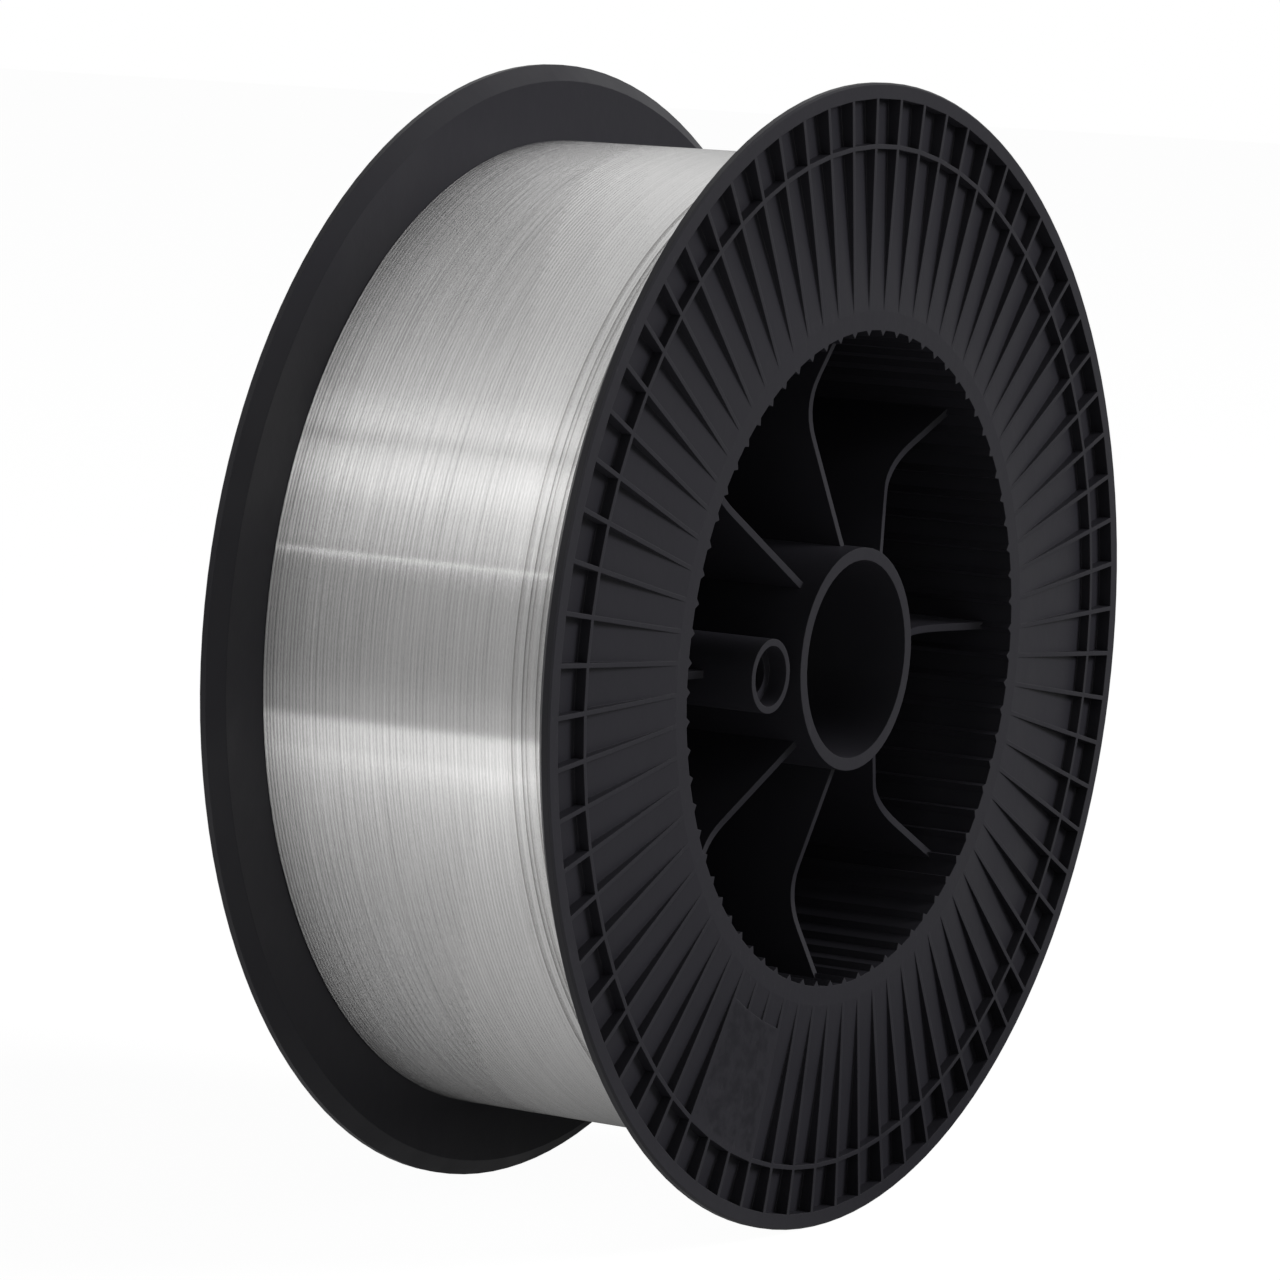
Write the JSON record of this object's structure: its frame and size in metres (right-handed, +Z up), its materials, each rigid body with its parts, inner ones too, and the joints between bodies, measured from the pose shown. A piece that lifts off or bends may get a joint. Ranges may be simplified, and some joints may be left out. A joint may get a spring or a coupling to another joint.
{
  "type": "welding wire spool",
  "caption": "Moulded plastic spool with ribbed flanges, a hub bore and a drive pin hole, wound full of bright solid welding wire.",
  "frame": {"origin": "centre of the spindle bore, half way between the two flanges", "axes": "+Y along the bore, away from the side with the label patch; +Z up; -X towards the drive pin hole"},
  "size_m": [0.3, 0.103, 0.3],
  "materials": {
    "black_plastic": "satin moulded",
    "wire": "bright drawn"
  },
  "bodies": {
    "root": {"spool": "black_plastic", "wire_coil": "wire"}
  },
  "joints": []
}
